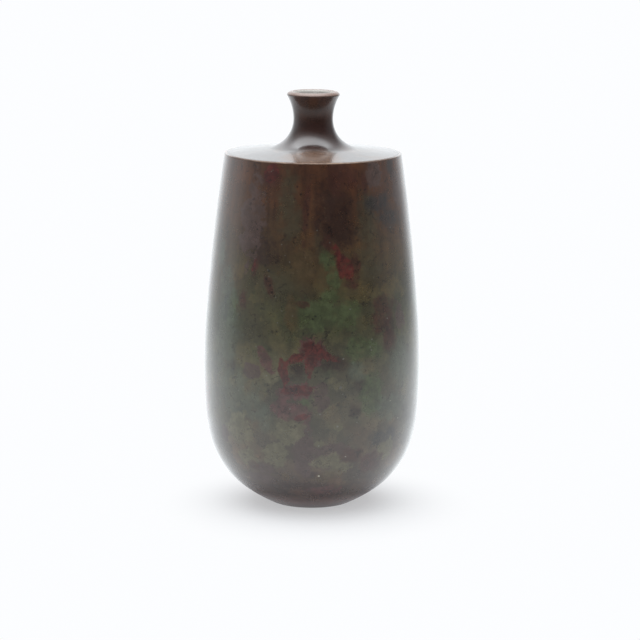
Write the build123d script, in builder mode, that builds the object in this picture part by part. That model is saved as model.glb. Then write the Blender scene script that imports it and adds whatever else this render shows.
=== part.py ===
from build123d import *
from math import cos, radians, sin, tan
import os

# A bronze flower vase: a tall barrel closed by a turned shoulder with a short trumpet neck.
# Millimetres and degrees. The axis is Z, and the foot stands on Z = 0.

# The barrel's side, a run of tangent arcs from the foot up. Each arc has a radius, and goes on until
# the side leans at the angle given, which is 0 where it is level and 90 where it is upright. The last
# arc runs from the belly to the shoulder's edge, which a small round finishes.
FOOT_RADIUS = 24.5
FOOT_ANGLE = 26.0
BASE_ARC = 99.0
BASE_ANGLE = 37.0
HIP_ARC = 51.5
HIP_ANGLE = 77.0
BOWL_ARC = 113.0
BOWL_ANGLE = 86.75
BELLY_ARC = 405.0
BELLY_ANGLE = 94.4
SHOULDER_RADIUS = 51.5
SHOULDER_HEIGHT = 206.0
RIM_ROUND = 0.5

# Outside of the shoulder, neck and lip
SHOULDER_SLOPE = 6.7
FLARE_RADIUS = 17.0
NECK_RADIUS = 11.5
TRUMPET_HEIGHT = 13.8
LIP_FLARE = 3.8
LIP_WIDTH = 2.6
LIP_RISE = 1.65
LIP_EDGE = 0.4

# Walls, and the inside of the neck
BARREL_WALL = 2.5
SHOULDER_WALL = 2.7
NECK_WALL = 2.7
THROAT_LENGTH = 8.0
MOUTH_ROUND = 2.0

# The seat of the shoulder in the barrel's rim
RIM_WIDTH = 1.2
SEAT_LEDGE = 1.6
SEAT_WIDTH = 5.0
BRAZE_LEG = 1.8

# The foot ring, and the base plate let into it from below
FOOT_LAND = 4.0
FOOT_RECESS = 2.0
BASE_THICKNESS = 3.5
BASE_CHAMFER = 0.5
LEDGE_WIDTH = 3.0
LEDGE_THICKNESS = 2.0
SOLDER_LEG = 1.2

# Clearance round a piece that is let into another, for the solder to run into
JOINT_GAP = 0.1


side_arcs = [
    (BASE_ARC, BASE_ANGLE),
    (HIP_ARC, HIP_ANGLE),
    (BOWL_ARC, BOWL_ANGLE),
    (BELLY_ARC, BELLY_ANGLE),
]


def along(angle):
    """The way along an outline where it leans at an angle."""
    return Vector(cos(radians(angle)), sin(radians(angle)))


def inward(angle):
    """The way into the metal, square to an outline that leans at an angle."""
    return Vector(-sin(radians(angle)), cos(radians(angle)))


def draw_bowl(wall):
    """Draws the side from the foot to the end of the belly, set in by a wall, and returns its two ends."""
    foot = Vector(FOOT_RADIUS, 0) + inward(FOOT_ANGLE) * wall
    point = foot
    angle = FOOT_ANGLE
    for radius, end_angle in side_arcs:
        arc = JernArc(point, along(angle), radius - wall, end_angle - angle)
        point = arc @ 1
        angle = end_angle
    return foot, point


def draw_outside():
    """Draws the whole side, up to the rim's round, and returns its two ends."""
    foot, waist = draw_bowl(0)
    flank = TangentArc(waist, (SHOULDER_RADIUS, SHOULDER_HEIGHT), tangent=along(BELLY_ANGLE))
    turn = (flank % 1).get_angle(-along(-SHOULDER_SLOPE))
    rim = JernArc(flank @ 1, flank % 1, RIM_ROUND, turn)
    return foot, rim @ 1


def shoulder_top(radius):
    """Height of the shoulder's cone at a radius."""
    return crown.Y + (crown.X - radius) * tan(radians(SHOULDER_SLOPE))


# Values worked out from the sizes above
with BuildLine() as side:
    crown = draw_outside()[1]
belly_radius = side.line.bounding_box().max.X
seat_radius = crown.X - RIM_WIDTH
seat_height = shoulder_top(seat_radius) - SHOULDER_WALL
mouth_radius = seat_radius - SEAT_LEDGE
rebate_radius = FOOT_RADIUS - FOOT_LAND
base_top = FOOT_RECESS + BASE_THICKNESS
floor_height = base_top + LEDGE_THICKNESS
bore_radius = NECK_RADIUS - NECK_WALL
flare_foot_radius = NECK_RADIUS + FLARE_RADIUS * (1 - sin(radians(SHOULDER_SLOPE)))
throat_height = shoulder_top(flare_foot_radius) + FLARE_RADIUS * cos(radians(SHOULDER_SLOPE))
lip_height = throat_height + TRUMPET_HEIGHT
top_height = lip_height + LIP_EDGE + LIP_RISE

os.makedirs("parts", exist_ok=True)


# Barrel: a hollow casting, open at both ends, with a seat turned in its rim and another in its foot
with BuildPart() as body:
    with BuildSketch(Plane.XZ):
        with BuildLine():
            foot, rim = draw_outside()
            Polyline(rim, (0, shoulder_top(0)), (0, 0), foot)
        make_face()
    revolve(axis=Axis.Z)

    with BuildSketch(Plane.XZ):
        with BuildLine():
            foot, waist = draw_bowl(BARREL_WALL)
            Polyline(waist, (mouth_radius, seat_height), (0, seat_height), (0, foot.Y), foot)
        make_face()
        Rectangle(2 * belly_radius, 2 * floor_height, mode=Mode.SUBTRACT)
    revolve(axis=Axis.Z, mode=Mode.SUBTRACT)

    with BuildSketch(Plane.XY.offset(seat_height)):
        Circle(seat_radius)
    extrude(until=Until.LAST, mode=Mode.SUBTRACT)
    with BuildSketch(Plane.XY):
        Circle(rebate_radius)
    extrude(amount=base_top, mode=Mode.SUBTRACT)
    with BuildSketch(Plane.XY):
        Circle(rebate_radius - LEDGE_WIDTH)
    extrude(amount=floor_height, mode=Mode.SUBTRACT)
body.part.label = "body"
export_step(body.part, "parts/body.step")


# Shoulder and neck: one turned casting that drops into the barrel's rim
with BuildPart() as neck_and_shoulder:
    disc_radius = seat_radius - JOINT_GAP
    lip_foot = Vector(NECK_RADIUS + LIP_FLARE, lip_height)
    lip_edge = lip_foot + Vector(0, LIP_EDGE)
    lip_top = lip_edge + Vector(-LIP_WIDTH, LIP_RISE)
    mouth = lip_top - Vector(MOUTH_ROUND, MOUTH_ROUND)
    with BuildSketch(Plane.XZ):
        with BuildLine():
            slope = Line(
                (disc_radius, shoulder_top(disc_radius)),
                (flare_foot_radius, shoulder_top(flare_foot_radius)),
            )
            upright = (slope % 1).get_angle(Vector(0, 1))
            flare = JernArc(slope @ 1, slope % 1, FLARE_RADIUS, -upright)
            TangentArc(flare @ 1, lip_foot, tangent=flare % 1)
            Line(lip_foot, lip_edge)
            TangentArc(lip_top, lip_edge, tangent=(1, 0))
            TangentArc(lip_top, mouth, tangent=(-1, 0))
            funnel_foot = Vector(bore_radius, throat_height + THROAT_LENGTH)
            TangentArc(funnel_foot, mouth, tangent=(0, 1))
            Polyline(
                funnel_foot,
                (bore_radius, shoulder_top(bore_radius) - SHOULDER_WALL),
                (seat_radius - SEAT_WIDTH, seat_height),
                (disc_radius, seat_height),
                slope @ 0,
            )
        make_face()
    revolve(axis=Axis.Z)
neck_and_shoulder.part.label = "neck_and_shoulder"
export_step(neck_and_shoulder.part, "parts/neck_and_shoulder.step")


# Braze: the ring of filler that ran through the seat and set in the corner under the shoulder
with BuildPart() as shoulder_braze:
    with BuildSketch(Plane.XZ):
        with BuildLine():
            Polyline(
                (mouth_radius - BRAZE_LEG, seat_height),
                (seat_radius, seat_height),
                (seat_radius, seat_height - BRAZE_LEG),
                close=True,
            )
        make_face()
    revolve(axis=Axis.Z)
    add(body.part, mode=Mode.SUBTRACT)
shoulder_braze.part.label = "shoulder_braze"
export_step(shoulder_braze.part, "parts/shoulder_braze.step")


# Base plate: a disc let into the foot ring from below, against the ledge, leaving the ring to stand on
with BuildPart() as base_plate:
    with BuildSketch(Plane.XY.offset(FOOT_RECESS)):
        Circle(rebate_radius - JOINT_GAP)
    extrude(amount=BASE_THICKNESS)
    chamfer(base_plate.edges().group_by(Axis.Z)[-1], BASE_CHAMFER)
base_plate.part.label = "base_plate"
export_step(base_plate.part, "parts/base_plate.step")


# Solder: the ring that seals the base plate in the foot, a small fillet in the corner of the recess
with BuildPart() as base_solder:
    with BuildSketch(Plane.XZ):
        with BuildLine():
            Polyline(
                (rebate_radius - SOLDER_LEG, FOOT_RECESS),
                (rebate_radius, FOOT_RECESS),
                (rebate_radius, FOOT_RECESS - SOLDER_LEG),
                close=True,
            )
        make_face()
    revolve(axis=Axis.Z)
base_solder.part.label = "base_solder"
export_step(base_solder.part, "parts/base_solder.step")

print(f"Height {top_height:.1f} mm, belly {2 * belly_radius:.1f} mm, bore {2 * bore_radius:.1f} mm across")
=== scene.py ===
# %% [markdown]
# # A bronze vase and its patina
#
# The real vase is a thin bronze casting, turned smooth, and coloured with heat and chemicals until the
# metal carries a mottled skin of brown, olive and red that is then waxed. The lesson loads the built
# pieces, turns finer meshes of the two that show, paints the patina with nodes, and lights the vase as
# a studio does. Nothing here moves or resizes the pieces that were built: the new meshes are turned
# to the same sizes and stand in the same places.

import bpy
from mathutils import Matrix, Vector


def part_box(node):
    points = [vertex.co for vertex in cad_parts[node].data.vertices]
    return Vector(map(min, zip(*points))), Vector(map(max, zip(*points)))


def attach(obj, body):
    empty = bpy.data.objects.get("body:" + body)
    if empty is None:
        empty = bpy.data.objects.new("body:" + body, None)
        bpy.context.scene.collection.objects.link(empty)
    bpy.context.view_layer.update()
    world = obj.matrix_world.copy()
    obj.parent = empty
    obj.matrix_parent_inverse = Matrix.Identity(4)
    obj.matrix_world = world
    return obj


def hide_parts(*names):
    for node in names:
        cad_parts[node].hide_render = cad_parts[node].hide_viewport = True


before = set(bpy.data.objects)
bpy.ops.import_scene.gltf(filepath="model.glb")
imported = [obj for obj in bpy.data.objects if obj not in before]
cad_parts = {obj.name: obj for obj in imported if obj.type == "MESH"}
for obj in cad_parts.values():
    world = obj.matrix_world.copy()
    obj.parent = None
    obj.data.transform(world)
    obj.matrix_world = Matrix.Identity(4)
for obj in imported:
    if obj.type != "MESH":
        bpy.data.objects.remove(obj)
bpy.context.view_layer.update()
print("built pieces:", ", ".join(sorted(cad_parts)))

# %% [markdown]
# ## An outline pen
#
# A turned piece is a flat outline swept round an axis. An outline could be a list of points, but a lathe
# hand thinks in arcs, so this pen draws the way a turtle does: it remembers where its tip is and which
# way it heads, and each call goes on from there. Arcs come from bmesh's spin operator, which sweeps the
# tip round a centre, and straight runs from extruding the tip. The numbers are millimetres from the
# axis and above the foot, and angles are degrees up from level.

# %% Draw outlines with operators
import bmesh
import bpy
from math import acos, atan2, cos, degrees, hypot, radians, sin, tan

MM = 0.001


class OutlinePen:
    """Draws the outline of a turned piece in the plane of X and Z."""

    def __init__(self, radius, height, heading):
        self.mesh = bmesh.new()
        self.tip = self.start = self.mesh.verts.new((radius * MM, 0, height * MM))
        self.heading = heading

    @property
    def radius(self):
        return self.tip.co.x / MM

    @property
    def height(self):
        return self.tip.co.z / MM

    def line(self, radius, height, steps=1):
        """Goes straight to a place, in equal steps."""
        run, rise = radius - self.radius, height - self.height
        self.heading = degrees(atan2(rise, run))
        first_radius, first_height = self.radius, self.height
        for step in range(1, steps + 1):
            self.tip = bmesh.ops.extrude_vert_indiv(self.mesh, verts=[self.tip])["verts"][0]
            share = step / steps
            self.tip.co = ((first_radius + run * share) * MM, 0, (first_height + rise * share) * MM)

    def arc(self, bend, turn, steps):
        """Goes round a bend of a radius, through an angle that is positive to the left."""
        side = bend if turn > 0 else -bend
        angle = radians(self.heading)
        centre = (self.tip.co.x - sin(angle) * side * MM, 0, self.tip.co.z + cos(angle) * side * MM)
        swept = bmesh.ops.spin(
            self.mesh, geom=[self.tip], cent=centre, axis=(0, -1, 0), angle=radians(turn), steps=steps
        )
        self.tip = [v for v in swept["geom_last"] if isinstance(v, bmesh.types.BMVert)][0]
        self.heading += turn

    def arc_to(self, radius, height, steps):
        """Goes to a place on the one arc that starts along the heading."""
        run, rise = radius - self.radius, height - self.height
        half_turn = degrees(atan2(rise, run)) - self.heading
        half_turn = (half_turn + 180) % 360 - 180
        self.arc(abs(hypot(run, rise) / (2 * sin(radians(half_turn)))), 2 * half_turn, steps)

    def close(self):
        """Joins the tip to the start."""
        self.mesh.edges.new((self.tip, self.start))


trial = OutlinePen(20, 0, 90)
trial.arc(10, 90, 4)
print(f"a quarter bend of 10 mm goes from radius 20 to {trial.radius:.2f}, and {trial.height:.2f} up")
trial.mesh.free()

# %% [markdown]
# ## From outline to piece
#
# A full spin of a closed outline gives a closed skin, with the end of the sweep merged to its start so
# that no seam is left. Corners first get a small vertex bevel on the flat outline, because no real edge
# is perfectly sharp, and a rounded edge is what catches the light. The spin can leave the skin inside
# out, so its normals are worked out again.

# %% Spin an outline into a piece
AXIS_STEPS = 256
EDGE_STEPS = 3
MERGE_WITHIN = 0.001


def soften(pen, corners, size):
    """Rounds some corners of an outline by a small amount."""
    bmesh.ops.bevel(
        pen.mesh, geom=corners, offset=size * MM, offset_type="OFFSET", segments=EDGE_STEPS,
        profile=0.5, affect="VERTICES", material=-1,
    )


def turned_piece(name, pen, node):
    """Spins a closed outline round the axis, and lets the piece stand for a built node."""
    bm = pen.mesh
    whole = bm.verts[:] + bm.edges[:]
    bmesh.ops.spin(
        bm, geom=whole, cent=(0, 0, 0), axis=(0, 0, 1), angle=radians(360), steps=AXIS_STEPS,
        use_merge=True,
    )
    bmesh.ops.remove_doubles(bm, verts=bm.verts[:], dist=MERGE_WITHIN * MM)
    bmesh.ops.recalc_face_normals(bm, faces=bm.faces[:])
    mesh = bpy.data.meshes.new(name)
    bm.to_mesh(mesh)
    bm.free()
    mesh.shade_smooth()
    piece = bpy.data.objects.new(name, mesh)
    bpy.context.scene.collection.objects.link(piece)
    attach(piece, "root")
    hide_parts(node)
    low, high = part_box(node)
    size = piece.dimensions / MM
    print(f"{name}: {len(mesh.polygons)} faces, {size.x:.2f} mm wide, built {(high - low).x / MM:.2f} mm")
    return piece


print(f"pieces are spun in {AXIS_STEPS} steps, and soft edges have {EDGE_STEPS} faces")

# %% [markdown]
# ## The barrel
#
# The barrel's side is five tangent arcs, from the small foot, round the hips, to the shoulder's edge.
# Tangent arcs matter here: the waxed skin is glossy, and a kink that the eye can't see in the outline
# would show as a break in the reflections. The inside follows the same arcs, less the wall, and then
# tapers straight up to the seat that the shoulder drops into. Heights and radii of the seats come from
# the built neighbours.

# %% Turn the barrel
FOOT_RADIUS = 24.5
FOOT_ANGLE = 26.0
# Each arc of the side: its bend, the angle where it ends, and its steps
SIDE_ARCS = [(99.0, 37.0, 8), (51.5, 77.0, 36), (113.0, 86.75, 16), (405.0, 94.4, 32)]
FLANK_STEPS = 40
RIM_STEPS = 8
INSIDE_STEPS = 12
FLOOR_STEPS = 4
SHOULDER_RADIUS = 51.5
SHOULDER_HEIGHT = 206.0
SHOULDER_SLOPE = 6.7
RIM_ROUND = 0.5
RIM_WIDTH = 1.2
SEAT_LEDGE = 1.6
BARREL_WALL = 2.5
FOOT_LAND = 4.0
LEDGE_WIDTH = 3.0
LEDGE_THICKNESS = 2.0
SOFT_EDGE = 0.25
JOINT_EDGE = 0.05

seat_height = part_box("shoulder_braze")[1].z / MM
base_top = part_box("base_plate")[1].z / MM
floor_height = base_top + LEDGE_THICKNESS
rebate_radius = FOOT_RADIUS - FOOT_LAND

barrel = OutlinePen(FOOT_RADIUS, 0, FOOT_ANGLE)
foot_corner = barrel.start
for bend, end_angle, steps in SIDE_ARCS:
    barrel.arc(bend, end_angle - barrel.heading, steps)
waist_radius, waist_height = barrel.radius, barrel.height
barrel.arc_to(SHOULDER_RADIUS, SHOULDER_HEIGHT, FLANK_STEPS)
barrel.arc(RIM_ROUND, 180 - SHOULDER_SLOPE - barrel.heading, RIM_STEPS)
crown_radius, crown_height = barrel.radius, barrel.height
seat_radius = crown_radius - RIM_WIDTH


def shoulder_top(radius):
    """Height of the shoulder's cone at a radius."""
    return crown_height + (crown_radius - radius) * tan(radians(SHOULDER_SLOPE))


barrel.line(seat_radius, shoulder_top(seat_radius))
rim_corner = barrel.tip
barrel.line(seat_radius, seat_height)
barrel.line(seat_radius - SEAT_LEDGE, seat_height)
belly_angle = radians(SIDE_ARCS[-1][1])
inner_radius = waist_radius - BARREL_WALL * sin(belly_angle)
inner_height = waist_height + BARREL_WALL * cos(belly_angle)
barrel.line(inner_radius, inner_height, INSIDE_STEPS)
barrel.heading = SIDE_ARCS[-1][1] + 180
for (bend, end_angle, steps), (_, next_angle, _) in zip(SIDE_ARCS[:0:-1], SIDE_ARCS[-2::-1]):
    barrel.arc(bend - BARREL_WALL, next_angle - end_angle, steps // 2)
base_bend = SIDE_ARCS[0][0] - BARREL_WALL
arc_centre_height = barrel.height + base_bend * cos(radians(SIDE_ARCS[0][1]))
floor_angle = degrees(acos((arc_centre_height - floor_height) / base_bend))
barrel.arc(base_bend, floor_angle - SIDE_ARCS[0][1], FLOOR_STEPS)
barrel.line(rebate_radius - LEDGE_WIDTH, floor_height, FLOOR_STEPS)
barrel.line(rebate_radius - LEDGE_WIDTH, base_top)
barrel.line(rebate_radius, base_top)
barrel.line(rebate_radius, 0)
land_corner = barrel.tip
barrel.close()
soften(barrel, [foot_corner, land_corner], SOFT_EDGE)
soften(barrel, [rim_corner], JOINT_EDGE)
body = turned_piece("barrel", barrel, "body")

# %% [markdown]
# ## The shoulder and neck
#
# The top was turned as one piece: a shallow cone, a quick flare up into the neck, a trumpet that opens
# towards the lip, and a thin lip rolled over into the mouth. The lip's rim is drawn with arcs that
# start level, so the light runs over it without a break. The same pen goes down the inside of the neck
# and back along the underside, which makes the piece a closed shell like the barrel. The braze ran up
# round the disc and filled the joint, so the disc is drawn out to its seat: an open gap of a tenth of a
# millimetre would show as dark specks along the rim.

# %% Turn the shoulder and neck
FLARE_BEND = 17.0
NECK_RADIUS = 11.5
TRUMPET_HEIGHT = 13.8
LIP_FLARE = 3.8
LIP_WIDTH = 2.6
LIP_RISE = 1.65
LIP_EDGE = 0.4
MOUTH_ROUND = 2.0
THROAT_LENGTH = 8.0
NECK_WALL = 2.7
SHOULDER_WALL = 2.7
SEAT_WIDTH = 5.0
JOINT_FILL = 0.09
NECK_STEPS = {"disc": 16, "flare": 32, "trumpet": 20, "lip": 10, "funnel": 8, "under": 6}

disc_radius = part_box("neck_and_shoulder")[1].x / MM + JOINT_FILL
flare_foot = NECK_RADIUS + FLARE_BEND * (1 - sin(radians(SHOULDER_SLOPE)))
bore_radius = NECK_RADIUS - NECK_WALL

neck = OutlinePen(disc_radius, shoulder_top(disc_radius), 180 - SHOULDER_SLOPE)
disc_corner = neck.start
neck.line(flare_foot, shoulder_top(flare_foot), NECK_STEPS["disc"])
neck.arc(FLARE_BEND, 90 - neck.heading, NECK_STEPS["flare"])
throat_height = neck.height
lip_radius, lip_height = NECK_RADIUS + LIP_FLARE, throat_height + TRUMPET_HEIGHT
neck.arc_to(lip_radius, lip_height, NECK_STEPS["trumpet"])
lip_corner = neck.tip
neck.line(lip_radius, lip_height + LIP_EDGE)
edge_corner = neck.tip
lip_top_radius, lip_top_height = lip_radius - LIP_WIDTH, lip_height + LIP_EDGE + LIP_RISE
rise_angle = degrees(atan2(LIP_RISE, -LIP_WIDTH))
neck.heading = 2 * rise_angle - 180
neck.arc_to(lip_top_radius, lip_top_height, NECK_STEPS["lip"])
neck.arc_to(lip_top_radius - MOUTH_ROUND, lip_top_height - MOUTH_ROUND, NECK_STEPS["lip"])
funnel_run = bore_radius - neck.radius
funnel_drop = throat_height + THROAT_LENGTH - neck.height
neck.heading = 2 * degrees(atan2(funnel_drop, funnel_run)) + 90
neck.arc_to(bore_radius, throat_height + THROAT_LENGTH, NECK_STEPS["funnel"])
neck.line(bore_radius, shoulder_top(bore_radius) - SHOULDER_WALL, NECK_STEPS["under"])
neck.line(seat_radius - SEAT_WIDTH, seat_height, NECK_STEPS["under"])
neck.line(disc_radius, seat_height)
neck.close()
soften(neck, [disc_corner], JOINT_EDGE)
soften(neck, [edge_corner], SOFT_EDGE)
soften(neck, [lip_corner], SOFT_EDGE / 2)
neck_piece = turned_piece("shoulder_and_neck", neck, "neck_and_shoulder")

# %% [markdown]
# ## Node helpers
#
# A procedural finish is a tree of small nodes. These helpers add one node each and fill its sockets,
# with a plain value or with a link, so that a layer of the finish reads from top to bottom. Every
# pattern starts from Object coordinates, scaled to millimetres: the pieces sit at the origin, so the
# pattern stays where it is painted, and the size of a feature is written as it would be measured.

# %% Add nodes in one line each
def add_node(tree, kind, inputs, **settings):
    """Adds a node, with its settings, and its sockets filled by values or by links."""
    node = tree.nodes.new(kind)
    for name, value in settings.items():
        setattr(node, name, value)
    for socket, value in inputs.items():
        if isinstance(value, bpy.types.NodeSocket):
            tree.links.new(value, node.inputs[socket])
        else:
            node.inputs[socket].default_value = value
    return node


def reckon(tree, operation, first, second=0.0, third=0.0):
    """One step of arithmetic on up to three numbers."""
    inputs = {0: first, 1: second, 2: third}
    return add_node(tree, "ShaderNodeMath", inputs, operation=operation).outputs[0]


def fade(tree, value, low, high):
    """0 below low, 1 above high, and a soft step between them. It may also run downwards."""
    inputs = {"Value": value, "From Min": low, "From Max": high}
    return add_node(tree, "ShaderNodeMapRange", inputs, interpolation_type="SMOOTHSTEP").outputs[0]


def scaled(tree, value, limits, results=(0.0, 1.0)):
    """A number taken from one range to another in a straight line."""
    inputs = {"Value": value, "From Min": limits[0], "From Max": limits[1]}
    inputs.update({"To Min": results[0], "To Max": results[1]})
    return add_node(tree, "ShaderNodeMapRange", inputs).outputs[0]


def blend(tree, share, below, above, how="MIX"):
    """Lays one colour over another."""
    inputs = {0: share, 6: below, 7: above}
    mix = add_node(tree, "ShaderNodeMix", inputs, data_type="RGBA", blend_type=how)
    return mix.outputs[2]


def cloud(tree, place, size, detail=3.0, roughness=0.55):
    """Soft noise with features of about a size in millimetres."""
    inputs = {"Vector": place, "Scale": 1 / size, "Detail": detail, "Roughness": roughness}
    return add_node(tree, "ShaderNodeTexNoise", inputs).outputs[0]


def stretched(tree, place, scale):
    """The place, squeezed or drawn out along X, Y and Z."""
    return add_node(tree, "ShaderNodeVectorMath", {0: place, 1: scale}, operation="MULTIPLY").outputs[0]


def moved(tree, place, offset):
    """The place shifted, so that two clouds of one size don't fall together."""
    return add_node(tree, "ShaderNodeVectorMath", {0: place, 1: offset}, operation="ADD").outputs[0]


def distance(tree, place, centre=(0, 0, 0)):
    """How far a place is from a centre."""
    inputs = {0: place, 1: centre}
    return add_node(tree, "ShaderNodeVectorMath", inputs, operation="DISTANCE").outputs["Value"]


def colour(tone):
    """A colour with no transparency."""
    return (*tone, 1.0)


def new_finish(name):
    """An empty material, its tree, its shader, and the place on the piece in millimetres."""
    material = bpy.data.materials.new(name)
    material.use_nodes = True
    tree = material.node_tree
    shader = tree.nodes["Principled BSDF"]
    coordinates = add_node(tree, "ShaderNodeTexCoord", {}).outputs["Object"]
    scale = {0: coordinates, "Scale": 1 / MM}
    place = add_node(tree, "ShaderNodeVectorMath", scale, operation="SCALE").outputs[0]
    return material, tree, shader, place


print("helpers: add_node, reckon, fade, scaled, blend, cloud, stretched, moved, distance, colour, new_finish")

# %% [markdown]
# ## Where the patches lie
#
# A patina like this is dabbed and poured on by hand, so its patches are no pattern that noise alone could
# find. They could be painted on an image, but a list of brush strokes is shorter and stays sharp at any
# size. Each stroke is an oval on the barrel: how far it is turned from the front in degrees, its
# middle's height, its width and length in millimetres, and how far it leans. For each tone the mesh keeps
# how deep inside the nearest stroke every point is: 1 in the middle, 0 at the edge, and less outside. The
# back isn't shown anywhere, so its strokes are strewn by a seeded hand, in the same tones and sizes.

# %% Brush soft patches onto the barrel
import numpy as np
import random

STROKES = {
    "red": [
        (-26, 201, 9, 10, 0), (-34, 147.5, 3, 7, 20), (18.5, 148, 9.5, 14, -18), (13.5, 158, 4, 11, -32),
        (0.5, 101, 12, 11, 0), (7, 98.5, 14, 5.5, 22), (-8.5, 96.5, 15, 5, -25), (-14.5, 88, 5, 18, -8),
        (-1, 94, 5.5, 15, 0), (-7, 78.5, 17, 6, 0), (-6, 62.5, 10, 4, -15),
    ],
    "wine": [
        (-8.5, 78, 22, 9, 0), (-10.5, 66, 23, 12, 8), (-19.5, 68, 7, 3.5, 0), (-15, 73, 6, 12, 0),
        (-25, 95.5, 7, 19, -30), (0.5, 101, 16, 15, 0), (8, 17, 18, 6, 0),
    ],
    "rust": [
        (18, 200, 18, 20, 0), (9, 162, 6, 11, -25), (21, 139, 10, 5, 0), (-40, 129, 6, 13, 0),
        (38, 128, 11, 5, 0), (41, 119, 18, 22, 20), (45.5, 106, 11, 16, 0), (23, 39, 13, 10, 0),
        (24, 149, 9, 13, 0), (9, 13.5, 22, 8, 0), (-3.4, 182, 4, 38, 4), (-5, 128, 9, 4, 0),
        (-25, 198, 11, 11, 0), (-35, 31, 9, 6, 0), (37, 33, 16, 14, 0), (33, 195, 4, 11, -10),
        (-33, 147, 4, 12, 15), (-24, 138, 5, 18, -20),
    ],
    "green": [
        (9, 151, 8, 15, -15), (12, 141, 9, 13, 0), (3.5, 123, 25, 20, 0), (-48, 121, 9, 22, 0),
        (9, 131, 12, 10, 0), (17, 121, 18, 17, 0), (-4, 71, 6, 6, 0), (28, 101, 24, 13, 0),
        (33, 74, 15, 26, 0),
    ],
    "olive": [
        (33, 172, 16, 34, 0), (-12, 172, 16, 20, 0), (-20, 135, 24, 26, 0), (32, 150, 20, 22, 0),
        (-30, 112, 26, 20, 0), (5, 161, 9, 15, -20), (-14.5, 186, 12, 40, 0),
    ],
    "dusk": [
        (14, 176, 26, 44, 0), (-29, 157, 23, 18, 0), (47, 114, 12, 15, 0), (23.5, 65, 8, 8, 0),
        (11, 94, 17, 10, 0), (-8, 91, 10, 12, 0), (29, 79, 17, 8, 20), (-45.5, 88.5, 4, 10, 0),
        # The wide dusk stroke at -3 degrees and 19.5 mm high is painted shade: the dark band above the foot,
        # where the skin reflects the shaded sheet
        (-3, 42, 8, 24, 0), (-3, 19.5, 30, 6, 0), (1, 28, 13, 5, 0),
    ],
    "slate": [
        (43, 183, 20, 11, -12), (52, 174, 17, 13, 0), (44, 48, 22, 11, 0), (58, 203, 9, 14, 0),
        (-52, 124, 10, 20, 0),
    ],
    "amber": [
        (-5, 150, 13, 18, 0), (12, 27, 18, 8, -10), (-15.5, 26, 5, 4, 0), (-11, 122, 7, 21, 0),
    ],
    "teal": [
        (-55, 134, 14, 22, 0), (24.5, 89, 11, 10, 0), (46, 66, 22, 16, 0), (-62, 150, 10, 16, 0),
        (-52, 108, 20, 46, 0), (-46, 72, 22, 34, 0), (54, 90, 18, 30, 0), (-32, 68, 14, 20, 0),
        (-26, 63, 11, 18, 0),
    ],
    "straw": [
        (-21.5, 85, 10, 10, 0), (-41, 52, 21, 19, 0), (-12, 55, 17, 19, 0), (4, 47.5, 6, 4, 0),
        (14, 57, 6, 5, 0), (8, 36, 17, 9, -12), (17, 31.5, 18, 8, -15), (45, 40, 13, 14, 0),
        (-46, 80, 6, 5, 0), (-20, 41, 15, 16, 0), (-38, 35.5, 14, 12, 0),
    ],
    "mauve": [
        (-33, 88, 12, 8, 0), (5, 73.5, 10, 18, 0), (-4, 43, 14, 32, 0), (-32, 23, 18, 7, 0),
        (-38, 173, 16, 44, 0), (11, 42, 26, 9, 0), (-28, 30, 11, 6, 0), (36, 35, 13, 13, 0),
        (-54, 47, 8, 10, 0), (63, 189, 10, 18, 0), (42, 198, 12, 16, 0), (54, 116, 10, 16, 0),
    ],
}
# Strokes of the back: how many, the lowest and highest, the smallest and largest
BACK_STROKES = {
    "red": (14, 6, 200, 4, 19),
    "wine": (12, 6, 110, 6, 20),
    "rust": (18, 10, 200, 5, 20),
    "green": (12, 60, 170, 8, 30),
    "olive": (9, 90, 180, 12, 34),
    "dusk": (16, 40, 195, 8, 26),
    "slate": (7, 40, 200, 8, 22),
    "amber": (7, 20, 170, 5, 16),
    "teal": (6, 50, 150, 8, 20),
    "straw": (14, 25, 90, 5, 19),
    "mauve": (12, 15, 190, 8, 28),
}
SIDE_TURN = 76
BACK_SHAPE = (0.5, 1.6)
BACK_LEAN = 30
BACK_SEED = 5

hand = random.Random(BACK_SEED)
for tone, (count, low, high, small, large) in BACK_STROKES.items():
    for _ in range(count):
        turn = hand.uniform(SIDE_TURN, 360 - SIDE_TURN)
        size = hand.uniform(small, large)
        height = hand.uniform(low, high)
        length = size * hand.uniform(*BACK_SHAPE)
        STROKES[tone].append((turn, height, size, length, hand.uniform(-BACK_LEAN, BACK_LEAN)))


def brush(mesh, tone, strokes):
    """Keeps, on the mesh, how deep inside the nearest stroke of a tone each point is."""
    points = np.empty(3 * len(mesh.vertices))
    mesh.vertices.foreach_get("co", points)
    x, y, z = points.reshape(-1, 3).T / MM
    turn, radius = np.arctan2(x, -y), np.hypot(x, y)
    depth = np.full(len(z), -1.0)
    for stroke_turn, height, wide, tall, lean in strokes:
        across = (turn - radians(stroke_turn) + np.pi) % (2 * np.pi) - np.pi
        across, up = across * radius, z - height
        slant = radians(lean)
        sideways = across * cos(slant) - up * sin(slant)
        upright = across * sin(slant) + up * cos(slant)
        depth = np.maximum(depth, 1 - np.hypot(2 * sideways / wide, 2 * upright / tall))
    mesh.attributes.new(tone, "FLOAT", "POINT").data.foreach_set("value", depth)
    print(f"{tone}: {len(strokes)} strokes")


for tone, strokes in STROKES.items():
    brush(body.data, tone, strokes)
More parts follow.
